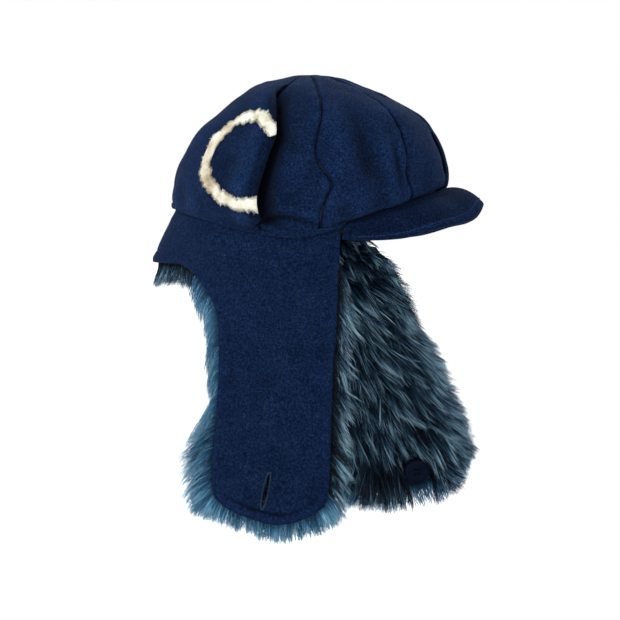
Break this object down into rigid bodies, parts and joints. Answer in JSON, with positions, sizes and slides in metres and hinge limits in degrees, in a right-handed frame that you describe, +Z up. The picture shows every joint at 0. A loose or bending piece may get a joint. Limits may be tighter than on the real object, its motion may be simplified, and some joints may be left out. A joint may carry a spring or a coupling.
{
  "type": "trapper hat",
  "caption": "Soft paneled wool cap with a short curved visor, fur-lined neck curtain and two long fur-lined ear flaps that fasten by a buttonhole and button.",
  "frame": {"origin": "middle of the head opening, level with the lowest point of its edge over the ears", "axes": "+X towards the visor, +Y towards the wearer's left, +Z up along the head"},
  "size_m": [0.2715, 0.1945, 0.3695],
  "materials": {
    "wool": "matte felted wool melton, dark navy",
    "visor_wool": "matte felted wool melton, dark navy",
    "visor_stiffener": "bare stiffener sheet, hidden inside the visor",
    "lining_satin": "satin weave, soft sheen",
    "sweatband_twill": "matte twill tape",
    "fur": "long soft pile, slate blue with dark roots and pale tips",
    "applique_cotton": "cream cotton felt with frayed tan edges",
    "thread": "twisted polyester sewing thread",
    "button_resin": "matte dark navy resin"
  },
  "bodies": {
    "hat": {"crown_front_right": "wool", "crown_side_front_right": "wool", "crown_side_rear_right": "wool", "crown_rear_right": "wool", "crown_front_left": "wool", "crown_side_front_left": "wool", "crown_side_rear_left": "wool", "crown_rear_left": "wool", "lining_front_right": "lining_satin", "lining_rear_right": "lining_satin", "lining_front_left": "lining_satin", "lining_rear_left": "lining_satin", "sweatband": "sweatband_twill", "outer_band": "wool", "visor_top_cover": "visor_wool", "visor_board": "visor_stiffener", "visor_under_cover": "visor_wool", "ring_applique": "applique_cotton"},
    "neck": {"neck_shell_right": "wool", "neck_shell_left": "wool", "neck_fur_right": "fur", "neck_fur_left": "fur"},
    "right_flap": {"right_flap_shell": "wool", "right_flap_fur": "fur", "buttonhole_stitching": "thread"},
    "left_flap": {"left_flap_shell": "wool", "left_flap_fur": "fur", "button_shank": "thread"},
    "button": {"button": "button_resin"}
  },
  "joints": [
    {"name": "right_flap_fold", "type": "hinge", "parent": "hat", "child": "right_flap", "pos_m": [-0.0115, -0.092, -0.01], "axis": [-1, 0, 0], "range_deg": [0, 160]},
    {"name": "left_flap_fold", "type": "hinge", "parent": "hat", "child": "left_flap", "pos_m": [0.0035, 0.092, -0.012], "axis": [1, 0, 0], "range_deg": [0, 160]},
    {"name": "neck_fold", "type": "hinge", "parent": "hat", "child": "neck", "pos_m": [-0.112, 0, 0.019], "axis": [0, 1, 0], "range_deg": [0, 150]},
    {"name": "button_tilt", "type": "hinge", "parent": "left_flap", "child": "button", "pos_m": [0.087, 0.0749, -0.199], "axis": [1, 0, 0], "range_deg": [-25, 25]}
  ]
}
